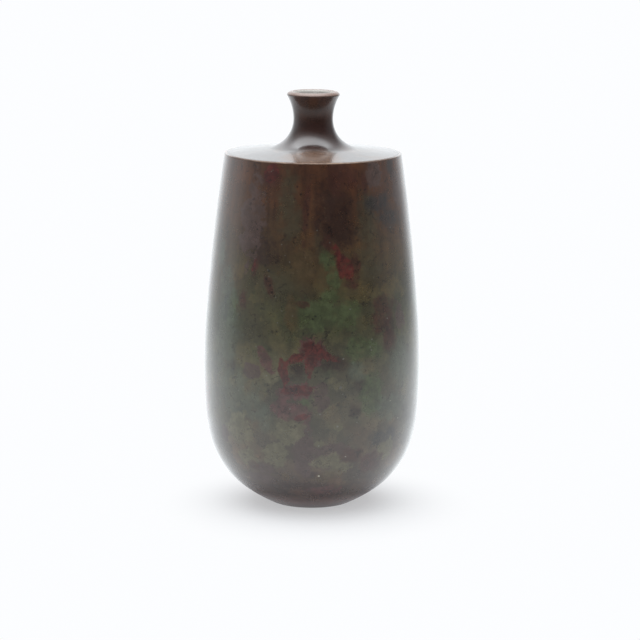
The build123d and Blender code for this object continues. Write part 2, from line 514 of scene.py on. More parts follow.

# %% [markdown]
# ## The patina's ground
#
# The ground under the patches was built up with a torch and a brush, in bands: red-brown under the shoulder,
# olive round the belly and a greyer olive below it. At the foot the bands are partly painted light and shade:
# a dark band, made darker for the shaded sheet that the skin reflects there, over a lighter edge for the
# little light that reaches the underside. A colour ramp on the height gives the bands. Its height is shaken
# by noise first, or the bands would have ruled edges. Apart from the foot, the tones are the bare colour of
# the surface, far darker than they look in the light, because wax adds a grey shine.

# %% Ground tones by height
BAND_CLOUD = 34.0
BAND_WANDER = 22.0
GROUND = [
    # The foot's stops are partly painted: lighter at 0 mm for the underside's little light, darker at 18 mm
    # for the shaded sheet that the skin reflects
    (0.0, (0.085, 0.048, 0.034)),
    (18.0, (0.050, 0.029, 0.020)),
    (30.0, (0.066, 0.045, 0.028)),
    (52.0, (0.068, 0.055, 0.033)),
    (84.0, (0.059, 0.053, 0.028)),
    (118.0, (0.052, 0.0505, 0.021)),
    (146.0, (0.056, 0.036, 0.013)),
    (172.0, (0.057, 0.025, 0.009)),
    (206.0, (0.068, 0.022, 0.007)),
]


def ground_tone(tree, place):
    """The bands of the patina, with painted light and shade at the foot, and wandering edges."""
    height = add_node(tree, "ShaderNodeSeparateXYZ", {0: place}).outputs["Z"]
    wander = cloud(tree, place, BAND_CLOUD, 4.0)
    wander = reckon(tree, "MULTIPLY_ADD", wander, 2 * BAND_WANDER, -BAND_WANDER)
    share = reckon(tree, "DIVIDE", reckon(tree, "ADD", height, wander), SHOULDER_HEIGHT)
    ramp = add_node(tree, "ShaderNodeValToRGB", {0: share})
    stops = ramp.color_ramp.elements
    for height_mm, _ in GROUND[1:-1]:
        stops.new(height_mm / SHOULDER_HEIGHT)
    for stop, (height_mm, tone) in zip(stops, GROUND):
        stop.position = height_mm / SHOULDER_HEIGHT
        stop.color = colour(tone)
    return ramp.outputs["Color"]


print(f"{len(GROUND)} bands of ground, each wandering by up to {BAND_WANDER:.0f} mm")

# %% [markdown]
# ## Mottling and streaks
#
# Torch heat and a wet brush never leave an even tone. Clouds of the width of a thumb and of a pea lighten
# and darken the ground, another tips it from warm to green, and a frayed cell pattern stands for single
# dabs of the brush. One cloud alone would look like mist; it is the mix of sizes that looks like metal.
# Under the shoulder the brush ran down, so the mottling is calmer there, and a cloud that is drawn out
# along the height leaves soft streaks.

# %% Mottle and streak the ground
BROAD_CLOUD = 24.0
FINE_CLOUD = 5.0
WARM_CLOUD = 14.0
DAB_SIZE = 11.0
DAB_FRAY = 3.0
# Each mottle: its cloud, the cloud's value where the tint starts and where it is full, and the tint
MOTTLES = [
    ("broad", (0.42, 0.72), (1.40, 1.36, 1.32)),
    ("broad", (0.52, 0.28), (0.70, 0.70, 0.72)),
    ("fine", (0.45, 0.75), (1.5, 1.45, 1.35)),
    ("fine", (0.50, 0.25), (0.60, 0.60, 0.64)),
    ("dab", (0.50, 0.75), (1.25, 1.22, 1.15)),
    ("dab", (0.50, 0.25), (0.76, 0.75, 0.77)),
    ("blush", (0.45, 0.75), (1.06, 0.97, 0.95)),
    ("warmth", (0.52, 0.75), (1.14, 0.97, 0.92)),
    ("warmth", (0.48, 0.25), (0.88, 1.05, 0.98)),
]
CALM_HEIGHTS = (130.0, 175.0)
MOTTLING = (0.75, 0.40)
STREAK_WIDTH = 4.0
STREAK_SQUEEZE = (1.0, 1.0, 0.07)
STREAK_HEIGHTS = (120.0, 185.0)
# Each streak: the cloud's value where it starts and where it is full, and its tint
STREAKS = [((0.50, 0.34), (0.66, 0.58, 0.58)), ((0.50, 0.66), (1.24, 1.23, 1.22))]


def toned(tree, below, share, tone):
    """Multiplies a colour by a tint, as strongly as a share says."""
    return blend(tree, share, below, colour(tone), "MULTIPLY")


def dabs(tree, place, size):
    """Flat random numbers for each dab of a brush, with frayed edges."""
    shake = {"Vector": place, "Scale": DAB_FRAY / size, "Detail": 4.0}
    shake = add_node(tree, "ShaderNodeTexNoise", shake).outputs["Color"]
    shake = stretched(tree, shake, (size, size, size))
    frayed = {"Vector": moved(tree, place, shake), "Scale": 1 / size, "Smoothness": 0.35}
    cells = add_node(tree, "ShaderNodeTexVoronoi", frayed, feature="SMOOTH_F1")
    return add_node(tree, "ShaderNodeSeparateXYZ", {0: cells.outputs["Color"]}).outputs


def mottled(tree, place, height, plain):
    """Clouds of light and dark, of warm and green, and brush dabs, all calmer under the shoulder."""
    dab = dabs(tree, place, DAB_SIZE)
    clouds = {
        "broad": cloud(tree, place, BROAD_CLOUD, 5.0, 0.6),
        "fine": cloud(tree, moved(tree, place, (40, 0, 0)), FINE_CLOUD, 6.0, 0.7),
        "warmth": cloud(tree, moved(tree, place, (0, 70, 0)), WARM_CLOUD, 5.0, 0.6),
        "dab": dab["X"],
        "blush": dab["Y"],
    }
    tone = plain
    for name, limits, tint in MOTTLES:
        tone = toned(tree, tone, fade(tree, clouds[name], *limits), tint)
    return blend(tree, scaled(tree, height, CALM_HEIGHTS, MOTTLING), plain, tone)


def streaked(tree, place, height, tone):
    """Soft upright streaks, dark and light, where the brush ran down under the shoulder."""
    streak = cloud(tree, stretched(tree, place, STREAK_SQUEEZE), STREAK_WIDTH, 5.0, 0.6)
    upper = fade(tree, height, *STREAK_HEIGHTS)
    for limits, tint in STREAKS:
        tone = toned(tree, tone, reckon(tree, "MULTIPLY", fade(tree, streak, *limits), upper), tint)
    return tone


print(f"{len(MOTTLES)} mottling tints, by clouds {FINE_CLOUD:.0f} to {BROAD_CLOUD:.0f} mm wide")

# %% [markdown]
# ## Ragged patches
#
# A stroke alone would be a smooth oval. Two clouds shake its depth before it is cut off, the larger to
# bend its edge and the smaller to fray it. The cut is sharp for the red, which lies on top like enamel,
# and soft for the tones that were rubbed in. Inside each patch a third cloud wears it thin, and a fourth
# shades it from its dark tone to its light one.

# %% Lay the patches over the ground
# Each tone: its dark and light colour, the depths where it starts and is full, and how well it covers
PATCH_TONES = [
    ("olive", (0.043, 0.036, 0.018), (0.060, 0.053, 0.028), (-0.40, 0.60), 0.65),
    ("slate", (0.015, 0.016, 0.018), (0.022, 0.021, 0.022), (-0.40, 0.50), 0.75),
    ("dusk", (0.018, 0.0043, 0.0022), (0.029, 0.0108, 0.0066), (-0.40, 0.55), 0.80),
    ("green", (0.040, 0.050, 0.017), (0.068, 0.090, 0.033), (-0.30, 0.34), 0.86),
    ("mauve", (0.056, 0.031, 0.025), (0.080, 0.047, 0.040), (-0.13, 0.12), 0.90),
    ("teal", (0.058, 0.069, 0.047), (0.090, 0.108, 0.074), (-0.40, 0.50), 0.62),
    ("straw", (0.092, 0.082, 0.041), (0.140, 0.126, 0.068), (-0.13, 0.13), 0.80),
    ("amber", (0.054, 0.033, 0.011), (0.086, 0.054, 0.022), (-0.35, 0.40), 0.72),
    ("rust", (0.036, 0.009, 0.005), (0.062, 0.019, 0.011), (-0.30, 0.38), 0.78),
    ("wine", (0.062, 0.024, 0.022), (0.112, 0.041, 0.038), (-0.15, 0.13), 0.86),
    ("red", (0.046, 0.007, 0.005), (0.112, 0.015, 0.011), (-0.18, 0.14), 0.92),
]
# Size and strength of the clouds that bend and fray an edge
EDGE_BEND = (7.0, 2.2)
EDGE_FRAY = (1.6, 0.8)
THIN_CLOUD = 3.5
THIN_LIMITS = (0.30, 0.52)
THINNEST = 0.45
SHADE_CLOUD = 4.5
SHADE_LIMITS = (0.38, 0.64)


def patched(tree, place, tone):
    """Lays every tone's patches over the ground, with ragged edges and a broken inside."""
    (bend_size, bend_depth), (fray_size, fray_depth) = EDGE_BEND, EDGE_FRAY
    bend = cloud(tree, moved(tree, place, (0, 0, 90)), bend_size, 5.0, 0.62)
    fray = cloud(tree, moved(tree, place, (90, 0, 0)), fray_size, 4.0, 0.65)
    shake = reckon(tree, "MULTIPLY_ADD", bend, bend_depth, reckon(tree, "MULTIPLY", fray, fray_depth))
    shake = reckon(tree, "SUBTRACT", shake, (bend_depth + fray_depth) / 2)
    thin = cloud(tree, moved(tree, place, (0, 50, 20)), THIN_CLOUD, 6.0, 0.75)
    thin = reckon(tree, "MULTIPLY_ADD", fade(tree, thin, *THIN_LIMITS), 1 - THINNEST, THINNEST)
    shade = cloud(tree, moved(tree, place, (20, 0, 50)), SHADE_CLOUD, 6.0, 0.7)
    shade = fade(tree, shade, *SHADE_LIMITS)
    for name, dark_tone, light_tone, limits, cover in PATCH_TONES:
        depth = add_node(tree, "ShaderNodeAttribute", {}, attribute_name=name).outputs["Fac"]
        share = fade(tree, reckon(tree, "ADD", depth, shake), *limits)
        share = reckon(tree, "MULTIPLY", reckon(tree, "MULTIPLY", share, thin), cover)
        tone = blend(tree, share, tone, blend(tree, shade, colour(dark_tone), colour(light_tone)))
    return tone


print(f"{len(PATCH_TONES)} tones of patches, the last on top:", ", ".join(row[0] for row in PATCH_TONES))

# %% [markdown]
# ## Specks, flecks and scratches
#
# Close up, the skin is never clean. Acid left dark pits, some pits filled with pale salts, and dusting
# scratched it. Pits and flecks are the tips of fine clouds, cut off high, and gathered by a broader cloud
# so that they come in crowds. A scratch is the line where a slow cloud crosses its middle value, cut
# into short lengths by another cloud.

# %% Speck and scratch the skin
# Each kind: its size, where it starts and is full, and the same for the cloud that gathers it
PITS = (1.8, (0.62, 0.72), 15.0, (0.54, 0.70))
FLECKS = (1.2, (0.64, 0.74), 13.0, (0.46, 0.64))
SCRATCHES = (9.0, (0.022, 0.006), 6.0, (0.49, 0.60))
PIT_TINT, PIT_COVER = (0.35, 0.32, 0.32), 0.7
SCRATCH_TINT, SCRATCH_COVER = (0.40, 0.34, 0.32), 0.85
FLECK_TONE, FLECK_COVER = (0.150, 0.125, 0.075), 0.48


def specks(tree, place, crowd_place, kind):
    """The tips of a fine cloud, where a broad cloud gathers them."""
    size, limits, crowd_size, crowd_limits = kind
    tips = fade(tree, cloud(tree, place, size, 2.0), *limits)
    crowd = fade(tree, cloud(tree, crowd_place, crowd_size, 3.0), *crowd_limits)
    return reckon(tree, "MULTIPLY", tips, crowd)


def scratches(tree, place):
    """The lines where a slow cloud crosses its middle, cut into lengths by another cloud."""
    size, limits, crowd_size, crowd_limits = SCRATCHES
    off_middle = reckon(tree, "SUBTRACT", cloud(tree, place, size, 3.0), 0.5)
    lines = fade(tree, reckon(tree, "ABSOLUTE", off_middle), *limits)
    crowd = fade(tree, cloud(tree, place, crowd_size, 3.0), *crowd_limits)
    return reckon(tree, "MULTIPLY", lines, crowd)


def specked(tree, place, tone):
    """Dark scratches, dark pits and pale flecks, each in crowds."""
    lines = scratches(tree, place)
    pits = specks(tree, moved(tree, place, (0, 0, 33)), moved(tree, place, (5, 0, 0)), PITS)
    flecks = specks(tree, moved(tree, place, (33, 0, 0)), moved(tree, place, (0, 5, 0)), FLECKS)
    tone = toned(tree, tone, reckon(tree, "MULTIPLY", lines, SCRATCH_COVER), SCRATCH_TINT)
    tone = toned(tree, tone, reckon(tree, "MULTIPLY", pits, PIT_COVER), PIT_TINT)
    return blend(tree, reckon(tree, "MULTIPLY", flecks, FLECK_COVER), tone, colour(FLECK_TONE))


print(f"pits of {PITS[0]} mm, flecks of {FLECKS[0]} mm, scratches about {SCRATCHES[0]} mm apart")

# %% [markdown]
# ## Single drips and grains
#
# A few marks are so small and so clear that no cloud stands for them: a chain of dark drips where the
# acid ran down, and pale grains of salt. Each is a dot on the skin, given by its turn, height and size,
# and a grain also by how pale it is. The shader measures how far every point is from the dot. The skin's
# radius at a height is read off the mesh, so that each dot lies on it.

# %% Set single dots on the skin
DRIPS = [
    (-33.3, 158.7, 0.9), (-26.9, 148.6, 0.9), (-24.6, 145.8, 1.0), (-26.0, 141.2, 1.2),
    (-23.4, 137.6, 1.1), (-22.0, 133.9, 0.9), (-20.7, 131.8, 0.8), (-33.7, 168.4, 0.8),
    (-9.4, 193.4, 0.9), (-7.0, 189.4, 0.9), (-2.7, 178.2, 1.0), (-3.4, 172.3, 0.8), (19.6, 195.1, 0.9),
    (30.3, 191.3, 0.8), (33.2, 191.0, 0.8), (21.4, 141.4, 0.8), (22.7, 139.3, 0.8), (39.2, 141.1, 0.8),
    (1.8, 121.3, 1.0), (0.4, 119.7, 0.9), (-32.6, 137.5, 0.7), (-4.4, 111.5, 0.9), (21.6, 111.3, 0.8),
    (-6.7, 97.0, 0.9), (-7.4, 93.7, 0.9), (-3.6, 90.9, 0.8), (-10.1, 86.9, 0.9), (22.3, 72.7, 0.8),
    (21.3, 66.5, 1.1), (24.4, 61.9, 1.1), (22.6, 64.2, 1.0), (45.3, 72.4, 0.9), (40.0, 71.7, 0.8),
    (42.1, 67.0, 0.8), (4.3, 49.5, 0.7), (-9.5, 36.0, 0.8), (29.3, 68.8, 0.7), (17.8, 74.6, 0.8),
    (-44.9, 87.3, 1.2),
]
GRAINS = [
    (4.6, 27.0, 0.75, 0.6), (33.0, 106.4, 0.6, 0.14), (33.7, 104.0, 0.6, 0.15), (32.0, 102.3, 0.6, 0.15),
    (32.4, 100.3, 0.6, 0.14), (16.6, 96.7, 0.6, 0.13), (15.2, 80.2, 1.1, 0.1), (16.3, 76.2, 0.6, 0.11),
    (4.5, 65.0, 0.7, 0.13), (13.8, 57.5, 0.8, 0.16), (4.0, 46.2, 0.6, 0.17), (19.2, 38.9, 0.6, 0.3),
    (52.9, 57.5, 0.6, 0.3), (47.8, 63.7, 0.6, 0.28), (45.5, 68.8, 0.5, 0.26), (48.7, 67.1, 0.5, 0.26),
    (-41.4, 75.3, 0.6, 0.15), (-38.2, 77.8, 0.6, 0.15), (-24.9, 57.1, 0.7, 0.15),
    (-30.4, 102.1, 0.6, 0.13), (-23.9, 86.2, 0.6, 0.14), (-11.1, 67.8, 0.6, 0.14),
    (24.5, 59.1, 0.7, 0.14), (-17.6, 160.9, 0.5, 0.12), (-12.6, 151.4, 0.5, 0.13),
    (-15.4, 155.0, 0.5, 0.12), (-25.4, 202.1, 0.5, 0.12), (-26.6, 201.3, 0.5, 0.12),
    (20.5, 124.5, 0.6, 0.12), (-9.7, 114.3, 0.6, 0.13), (-16.2, 123.8, 0.5, 0.13),
    (-10.3, 121.1, 0.5, 0.12), (-18.5, 116.8, 0.5, 0.12), (44.1, 117.2, 0.6, 0.13),
    (51.5, 168.3, 0.5, 0.14), (-25.1, 146.1, 0.5, 0.12), (-24.3, 142.8, 0.5, 0.12),
    (-19.8, 131.1, 0.5, 0.12), (9.8, 162.5, 0.5, 0.1), (2.5, 169.3, 0.5, 0.1),
]
DRIP_TINT = (0.35, 0.28, 0.28)
GRAIN_HUE = (1.0, 0.94, 0.76)
DOT_CORE = 0.4
DOT_FRAY = 1.2
SKIN_BAND = 3.0

points = np.empty(3 * len(body.data.vertices))
body.data.vertices.foreach_get("co", points)
skin = points.reshape(-1, 3) / MM
skin_radius = np.hypot(skin[:, 0], skin[:, 1])


def on_skin(turn, height):
    """The point of the barrel's skin at a turn from the front and a height."""
    near = np.abs(skin[:, 2] - height) < SKIN_BAND
    near &= skin_radius > skin_radius[near].max() - BARREL_WALL
    radius = np.polyval(np.polyfit(skin[near, 2], skin_radius[near], 1), height)
    return (radius * sin(radians(turn)), -radius * cos(radians(turn)), height)


def dot(tree, place, turn, height, size):
    """1 on a small round dot, and 0 off it."""
    return fade(tree, distance(tree, place, on_skin(turn, height)), size, DOT_CORE * size)


def dotted(tree, place, tone):
    """Dark drips and pale grains, one by one, with frayed edges."""
    shake = stretched(tree, cloud(tree, place, DOT_FRAY, 2.0), (DOT_FRAY,) * 3)
    place = moved(tree, moved(tree, place, shake), (-DOT_FRAY / 2,) * 3)
    for drip in DRIPS:
        tone = toned(tree, tone, dot(tree, place, *drip), DRIP_TINT)
    for turn, height, size, level in GRAINS:
        grain_tone = colour([level * part for part in GRAIN_HUE])
        tone = blend(tree, dot(tree, place, turn, height, size), tone, grain_tone)
    return tone


print(f"{len(DRIPS)} drips and {len(GRAINS)} grains")

# %% [markdown]
# ## The barrel's finish
#
# The layers are stacked in the order in which they were made: ground, mottling, streaks, patches, specks and
# dots. The foot is painted a redder, lighter brown, partly wear where the vase is set down and partly painted
# light on an underside that gets little. The front of the rim is rubbed down to the bronze, where hands and
# dusters touch it, and painted paler there as a highlight along its edge. Over it all goes wax, a clear coat
# that softens the reflections. Its gloss is uneven, and on the front of the rim it is gone, so the rim is
# matt there.

# %% Finish the barrel
# The foot's redder, lighter brown, partly wear and partly painted light, and the heights where it ends and
# where it is full
FOOT_BROWN_AND_LIGHT = (0.20, 0.085, 0.070)
FOOT_WEAR_AND_LIGHT = (12.0, 3.0)
# The front of the rim: a paler brown and patches of bare bronze, partly wear and partly a painted highlight
# along the edge
RIM_BROWN = (0.070, 0.040, 0.028)
BARE_BRONZE_AND_HIGHLIGHT = (0.26, 0.175, 0.125)
RIM_HEIGHTS = (SHOULDER_HEIGHT - 0.10, SHOULDER_HEIGHT + 0.10)
RIM_FRONT = (-8.0, -30.0)
RIM_SIDES = (46.0, 14.0)
RIM_CLOUD = 7.0
RIM_PATCHES = (0.20, 0.65)
WAX = {"IOR": 1.6, "Coat IOR": 1.6, "Coat Roughness": 0.17}
BARREL_GLOSS = (0.24, 0.36)
BARREL_PITS = 0.04
GLOSS_CLOUD = 9.0
GLOSS_LIMITS = (0.3, 0.7)
BUMP_CLOUD = 1.1
MATT = 0.7


def roughened(tree, shader, place, gloss, depth_mm, matt=0.0):
    """Uneven gloss that is lost where a share is matt, and fine pits in the surface."""
    uneven = cloud(tree, moved(tree, place, (12, 12, 0)), GLOSS_CLOUD, 6.0, 0.65)
    inputs = {0: matt, 2: scaled(tree, uneven, GLOSS_LIMITS, gloss), 3: MATT}
    rough = add_node(tree, "ShaderNodeMix", inputs, data_type="FLOAT").outputs[0]
    tree.links.new(rough, shader.inputs["Roughness"])
    pits = cloud(tree, moved(tree, place, (0, 21, 0)), BUMP_CLOUD, 5.0, 0.65)
    bump = {"Height": pits, "Strength": 1.0, "Distance": depth_mm * MM}
    tree.links.new(add_node(tree, "ShaderNodeBump", bump).outputs[0], shader.inputs["Normal"])


def barrel_finish():
    """Patina on the barrel, with wear and painted light along the foot and the front of the rim."""
    material, tree, shader, place = new_finish("barrel patina")
    parts = add_node(tree, "ShaderNodeSeparateXYZ", {0: place}).outputs
    height = parts["Z"]
    tone = ground_tone(tree, place)
    tone = mottled(tree, place, height, tone)
    tone = streaked(tree, place, height, tone)
    tone = patched(tree, place, tone)
    tone = specked(tree, place, tone)
    tone = dotted(tree, place, tone)
    # The foot, partly worn and partly painted lighter for the little light on the underside
    tone = blend(tree, fade(tree, height, *FOOT_WEAR_AND_LIGHT), tone, colour(FOOT_BROWN_AND_LIGHT))
    # The front of the rim, worn to the bronze and painted paler as a highlight
    rim = fade(tree, height, *RIM_HEIGHTS)
    rim = reckon(tree, "MULTIPLY", rim, fade(tree, parts["Y"], *RIM_FRONT))
    tone = blend(tree, rim, tone, colour(RIM_BROWN))
    worn_and_highlight = reckon(tree, "MULTIPLY", rim, fade(tree, cloud(tree, place, RIM_CLOUD, 5.0), *RIM_PATCHES))
    across = reckon(tree, "ABSOLUTE", parts["X"])
    worn_and_highlight = reckon(tree, "MULTIPLY", worn_and_highlight, fade(tree, across, *RIM_SIDES))
    tone = blend(tree, worn_and_highlight, tone, colour(BARE_BRONZE_AND_HIGHLIGHT))
    tree.links.new(tone, shader.inputs["Base Color"])
    tree.links.new(reckon(tree, "SUBTRACT", 1.0, rim), shader.inputs["Coat Weight"])
    roughened(tree, shader, place, BARREL_GLOSS, BARREL_PITS, rim)
    for socket, value in WAX.items():
        shader.inputs[socket].default_value = value
    return material


body.data.materials.append(barrel_finish())
print("barrel:", len(body.data.materials[0].node_tree.nodes), "nodes")

# %% [markdown]
# ## The tones of the shoulder and neck
#
# The top is browner than the barrel. Its disc is a thin grey-brown with warm tan patches, and the flare and
# the neck darken to a deep red-brown. The largest tan patch, in front of the neck, lies where the neck is
# reflected, and is partly the disc's own tan and partly that reflection painted in. Radius and height choose
# between them, with soft steps, because the tones were rubbed into each other. The lathe left faint rings, so
# one cloud reads only the radius and the height and is the same all round.

# %% Tones of the shoulder and neck
NECK_TONES = [(0.037, 0.016, 0.010), (0.062, 0.026, 0.017)]
FLARE_TONES = [(0.025, 0.009, 0.007), (0.037, 0.015, 0.011)]
TAN_AND_REFLECTION_TONES = [(0.145, 0.085, 0.056), (0.175, 0.104, 0.068)]
SHOULDER_TONES = [(0.130, 0.117, 0.114), (0.146, 0.132, 0.127)]
GRAIN_CLOUD = 8.0
GRAIN_LIMITS = (0.32, 0.66)
THIN_SPREAD = 15.0
THIN_PATCHES = (0.48, 0.66)
THIN_COVER = 0.5
# Middle, edge, fray and reach of the tan patch in front of the neck, partly a painted reflection of the neck
WARM_REFLECTION_PLACE = (0, -38.0, 207.5)
WARM_EDGE = 14.0
WARM_FRAY = 12.0
WARM_REACH = (18.0, 27.0)
DISC_RADII = (18.0, 28.0)
RING_WIDTH = 0.9
RING_LIMITS = (0.40, 0.60)
RING_TINT = (1.06, 1.05, 1.04)

flare_heights = (throat_height + 4.0, throat_height - 4.0)


def shoulder_tone(tree, place, radius, height):
    """Grey-brown with tan patches on the disc, the front one partly a painted reflection of the neck, and
    dark red-brown on the flare and the neck.
    """
    grain = fade(tree, cloud(tree, place, GRAIN_CLOUD, 6.0, 0.65), *GRAIN_LIMITS)
    tones = [NECK_TONES, FLARE_TONES, TAN_AND_REFLECTION_TONES, SHOULDER_TONES]
    tones = [blend(tree, grain, colour(dark), colour(light)) for dark, light in tones]
    neck_tone, flare_tone, tan_and_reflection_tone, disc_tone = tones
    thin = cloud(tree, moved(tree, place, (31, 0, 0)), THIN_SPREAD, 5.0, 0.6)
    thin = fade(tree, thin, *THIN_PATCHES)
    disc_tone = blend(tree, reckon(tree, "MULTIPLY", thin, THIN_COVER), disc_tone, tan_and_reflection_tone)
    # The tan patch in front of the neck, partly a painted reflection of the neck
    away = distance(tree, place, WARM_REFLECTION_PLACE)
    away = reckon(tree, "MULTIPLY_ADD", cloud(tree, place, WARM_EDGE, 4.0), WARM_FRAY, away)
    disc_tone = blend(tree, fade(tree, away, *WARM_REACH), tan_and_reflection_tone, disc_tone)
    tone = blend(tree, fade(tree, height, *flare_heights), neck_tone, flare_tone)
    tone = blend(tree, fade(tree, radius, *DISC_RADII), tone, disc_tone)
    rings = add_node(tree, "ShaderNodeCombineXYZ", {"X": radius, "Y": height}).outputs[0]
    rings = fade(tree, cloud(tree, rings, RING_WIDTH, 3.0), *RING_LIMITS)
    return toned(tree, tone, rings, RING_TINT)


print(f"the flare turns to neck at {throat_height:.1f} mm")

# %% [markdown]
# ## The lip and the mouth
#
# The lip is rubbed to a pinkish bronze, and painted paler than that as a highlight along its top. Inside the
# mouth the metal is bare grey, painted pale near the lip for the light that falls in, and darker down the
# throat as painted shade. Both are found by the radius and the height that the pen drew them at, so they end
# where the lip's edge does. They have no wax. The rest of the top has half of the barrel's wax, over a
# smoother skin, which makes it the glossier of the two.

# %% Finish the shoulder and neck
# The lip's rubbed bronze, painted paler than the metal as a highlight along its top
LIP_BRONZE_AND_HIGHLIGHT = (0.270, 0.185, 0.155)
# Bare grey inside the mouth, painted pale for the light that falls in, and darker down the throat as painted
# shade
MOUTH_GREY_AND_LIGHT = (0.54, 0.52, 0.485)
THROAT_SHADE_GREY = (0.16, 0.135, 0.115)
MOUTH_METAL = 0.25
NECK_WAX = {"IOR": 1.5, "Coat IOR": 1.6, "Coat Roughness": 0.13}
NECK_WAX_SHARE = 0.5
NECK_GLOSS = (0.20, 0.26)
NECK_PITS = 0.006

lip_heights = (lip_top_height - 2.0, lip_top_height - 1.0)
bore_radii = (NECK_RADIUS - 0.1, NECK_RADIUS - 0.5)
bore_heights = (throat_height, throat_height + 6.0)
roll_radii = (lip_top_radius - 0.8, lip_top_radius - 1.2)
roll_heights = (lip_height - 1.0, lip_height)
# Heights where the painted shade down the throat starts and where it is full
throat_shade_heights = (lip_top_height - 2.0, lip_top_height - 6.0)


def inside_mouth(tree, radius, height):
    """1 on the inside of the neck and of the rolled lip, and 0 outside."""
    bore = fade(tree, radius, *bore_radii)
    bore = reckon(tree, "MULTIPLY", bore, fade(tree, height, *bore_heights))
    rolled = fade(tree, radius, *roll_radii)
    rolled = reckon(tree, "MULTIPLY", rolled, fade(tree, height, *roll_heights))
    return reckon(tree, "MAXIMUM", bore, rolled)


def shoulder_finish():
    """Brown patina that thins over the shoulder, a rubbed lip painted paler as a highlight, and a bare mouth
    painted pale, with painted shade down the throat.
    """
    material, tree, shader, place = new_finish("shoulder patina")
    height = add_node(tree, "ShaderNodeSeparateXYZ", {0: place}).outputs["Z"]
    radius = distance(tree, stretched(tree, place, (1, 1, 0)))
    tone = shoulder_tone(tree, place, radius, height)
    # The lip, painted paler as a highlight
    lip = fade(tree, height, *lip_heights)
    tone = blend(tree, lip, tone, colour(LIP_BRONZE_AND_HIGHLIGHT))
    inside = inside_mouth(tree, radius, height)
    # Painted shade, darker down the throat
    deep = fade(tree, height, *throat_shade_heights)
    tone = blend(tree, inside, tone, blend(tree, deep, colour(MOUTH_GREY_AND_LIGHT), colour(THROAT_SHADE_GREY)))
    tree.links.new(tone, shader.inputs["Base Color"])
    tree.links.new(reckon(tree, "MULTIPLY", inside, MOUTH_METAL), shader.inputs["Metallic"])
    waxed = reckon(tree, "SUBTRACT", 1.0, reckon(tree, "MAXIMUM", inside, lip))
    tree.links.new(reckon(tree, "MULTIPLY", waxed, NECK_WAX_SHARE), shader.inputs["Coat Weight"])
    roughened(tree, shader, place, NECK_GLOSS, NECK_PITS, inside)
    for socket, value in NECK_WAX.items():
        shader.inputs[socket].default_value = value
    return material


neck_piece.data.materials.append(shoulder_finish())
print("shoulder and neck:", len(neck_piece.data.materials[0].node_tree.nodes), "nodes")

# %% [markdown]
# ## The pieces that hardly show
#
# The base plate, its solder and the braze under the shoulder keep their built meshes, because their shapes
# are right, and only get a finish. The plate lies up inside the foot, where nothing rubs it, and has a
# plain brown skin without wax. Solder dulls to grey. Braze keeps the yellow of brass, stained by the torch.

# %% Finish the base plate, the solder and the braze
METAL_CLOUD = 6.0
METAL_LIMITS = (0.35, 0.65)
STAIN_CLOUD = 2.5
STAIN_LIMITS = (0.55, 0.70)
STAIN_TINT = (0.55, 0.50, 0.46)
# Each piece: its dark and light colour, how metallic it is, its gloss, and the depth of its pits
SMALL_FINISHES = {
    "base_plate": ((0.030, 0.020, 0.014), (0.075, 0.046, 0.028), 0.35, (0.42, 0.62), 0.05),
    "base_solder": ((0.17, 0.17, 0.17), (0.34, 0.34, 0.33), 0.80, (0.38, 0.58), 0.06),
    "shoulder_braze": ((0.22, 0.13, 0.045), (0.52, 0.36, 0.14), 0.90, (0.30, 0.50), 0.06),
}


def small_finish(name, dark, light, metal, gloss, depth_mm):
    """A clouded metal with stains, uneven gloss and fine pits."""
    material, tree, shader, place = new_finish(name.replace("_", " "))
    clouded = fade(tree, cloud(tree, place, METAL_CLOUD, 6.0, 0.65), *METAL_LIMITS)
    tone = blend(tree, clouded, colour(dark), colour(light))
    stain = cloud(tree, moved(tree, place, (17, 0, 0)), STAIN_CLOUD, 4.0, 0.6)
    tone = toned(tree, tone, fade(tree, stain, *STAIN_LIMITS), STAIN_TINT)
    tree.links.new(specked(tree, place, tone), shader.inputs["Base Color"])
    shader.inputs["Metallic"].default_value = metal
    roughened(tree, shader, place, gloss, depth_mm)
    return material


for name, look in SMALL_FINISHES.items():
    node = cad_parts[name]
    node.data.materials.clear()
    node.data.materials.append(small_finish(name, *look))
    print(name, "finished:", len(node.data.materials[0].node_tree.nodes), "nodes")

# %% [markdown]
# ## Floor and studio
#
# The vase stands on a white sheet, lit softly from above, with white behind it and a dark room in front.
# That dark room matters as much as the lamp, because a glossy dark skin shows mostly what it reflects:
# white from behind slides round its edges, the sheet makes a haze on its lower half, and the room keeps
# its front deep. A real studio sets up flags and reflectors for this. Here a glow is written by direction:
# a curve from front to back, and a few soft lights, each a curve round its own direction.

# %% What a reflection sees of the room
ROOM_TONE = (0.93, 0.97, 1.0)
# The room's glow from -1, in front, to 1, behind
ROOM_FADE = [
    (-1.0, 0.035), (-0.75, 0.05), (-0.4, 0.085), (0.0, 0.235), (0.3, 0.28), (0.5, 0.28), (0.7, 0.47),
    (0.85, 0.98), (0.95, 1.15), (1.0, 1.28),
]
# Each soft light: its direction, and its glow from -1, away from it, to 1, straight at it
SOFT_LIGHTS = [
    ((-0.90, 0.43, 0.0), [(-1.0, 0.0), (0.25, 0.05), (0.65, 0.11), (0.85, 0.13), (0.95, 0.33), (1.0, 0.39)]),
    ((-0.50, 0.70, 0.51), [(-1.0, 0.0), (0.80, 0.0), (0.90, 0.12), (0.96, 0.45), (1.0, 0.7)]),
    ((0.40, 0.83, 0.39), [(-1.0, 0.0), (0.90, 0.0), (0.96, 0.08), (1.0, 0.2)]),
    (
        (-0.09, 0.06, 0.994),
        [
            (-1.0, 0.0), (0.5, 0.05), (0.62, 0.3), (0.72, 0.6), (0.80, 1.7), (0.86, 3.3), (0.92, 4.3),
            (1.0, 4.5),
        ],
    ),
]


